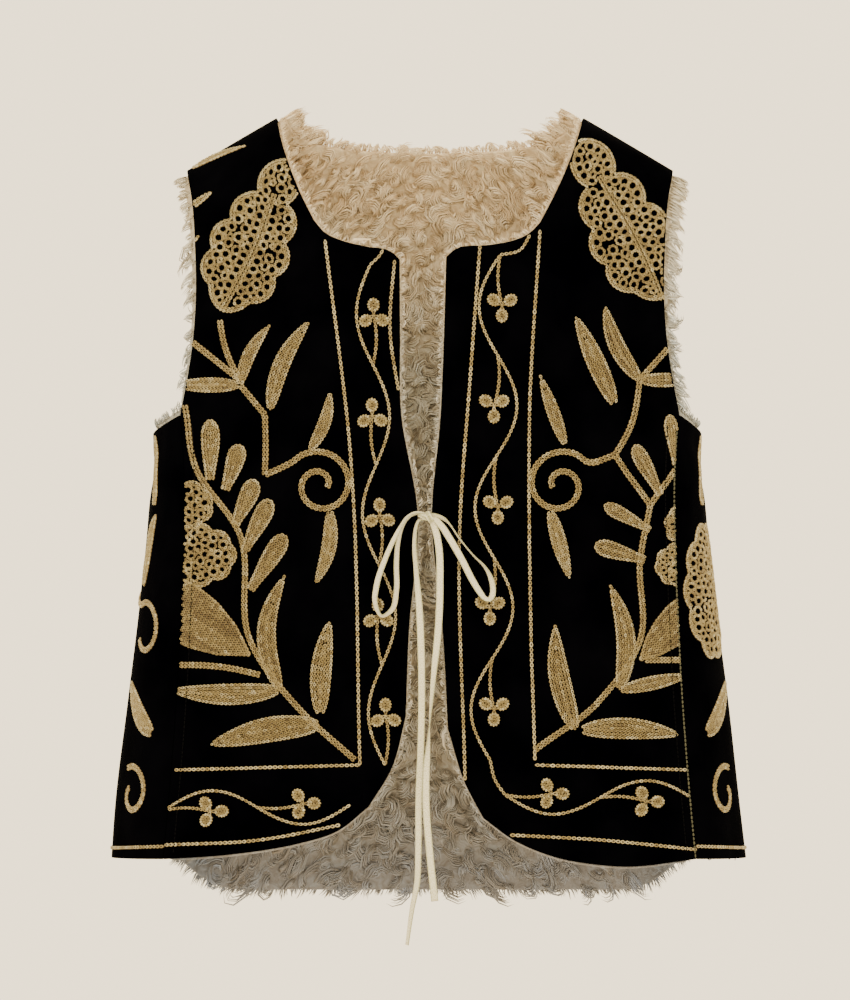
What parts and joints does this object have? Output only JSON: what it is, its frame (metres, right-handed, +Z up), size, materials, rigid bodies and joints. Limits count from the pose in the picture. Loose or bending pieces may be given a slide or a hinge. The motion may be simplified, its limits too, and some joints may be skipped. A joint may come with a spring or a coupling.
{
  "type": "embroidered folk vest",
  "caption": "Sleeveless black velvet folk vest with gold floral embroidery, curly pile lining and a tie bow at the open front, in its worn form.",
  "frame": {"origin": "midway between the two neck points, level with them, where the shoulders rest on the wearer", "axes": "+X to the wearer's left, +Y to the wearer's back, +Z up"},
  "size_m": [0.4842, 0.279, 0.6273],
  "materials": {
    "velvet": "matt",
    "pile": "matt",
    "tie": "matt"
  },
  "bodies": {
    "root": {"front_right": "velvet", "front_left": "velvet", "side_right": "velvet", "side_left": "velvet", "back": "velvet", "lining_front_right": "pile", "lining_front_left": "pile", "lining_side_right": "pile", "lining_side_left": "pile", "lining_back": "pile", "tie_right_lead": "tie", "tie_right_loop": "tie", "tie_right_tail": "tie", "tie_left_lead": "tie", "tie_left_loop": "tie", "tie_left_tail": "tie", "tie_knot": "tie"}
  },
  "joints": []
}
